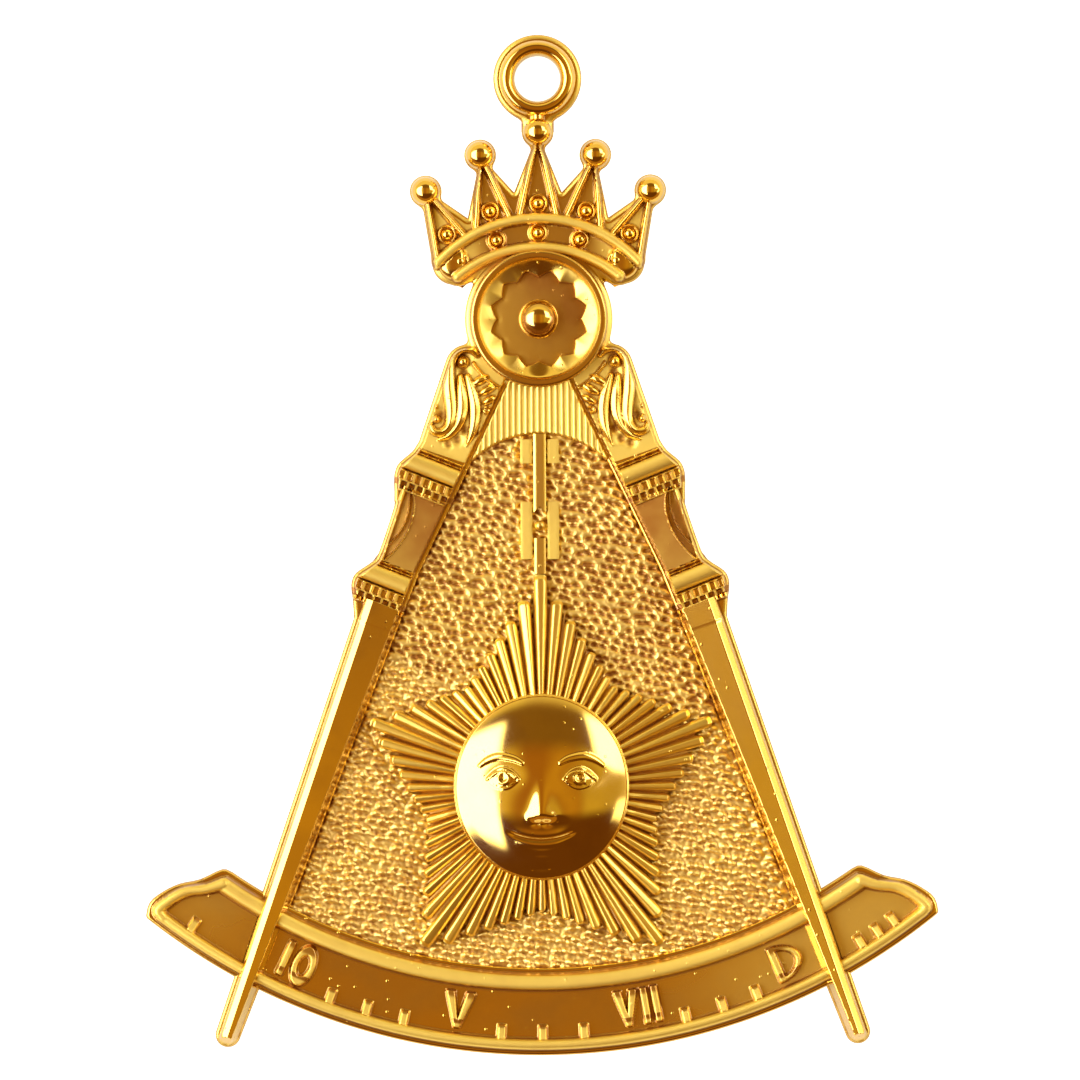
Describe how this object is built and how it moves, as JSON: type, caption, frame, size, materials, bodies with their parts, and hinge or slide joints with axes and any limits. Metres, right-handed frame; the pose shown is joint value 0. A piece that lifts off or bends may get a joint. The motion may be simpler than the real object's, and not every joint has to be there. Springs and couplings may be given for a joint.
{
  "type": "masonic collar jewel",
  "caption": "Gilt metal collar jewel: open compasses on a graduated arc, with a crown and suspension ring above and a sun face on a rayed star between the legs.",
  "frame": {"origin": "bottom centre of the bounding box: the middle of the flat back", "axes": "+Y towards the suspension ring, +Z out of the face, +X to the right as seen from the front"},
  "size_m": [0.0698, 0.09, 0.0058],
  "materials": {
    "gilt_casting": "gold-plated casting, polished rails and legs, satin panels and a pebbled field",
    "gilt_star": "gold-plated, bright rays with darker grooves",
    "polished_gold": "gold-plated, mirror polished"
  },
  "bodies": {
    "root": {"frame": "gilt_casting", "star_rays": "gilt_star", "sun_face": "polished_gold", "pivot_ball": "polished_gold"}
  },
  "joints": []
}
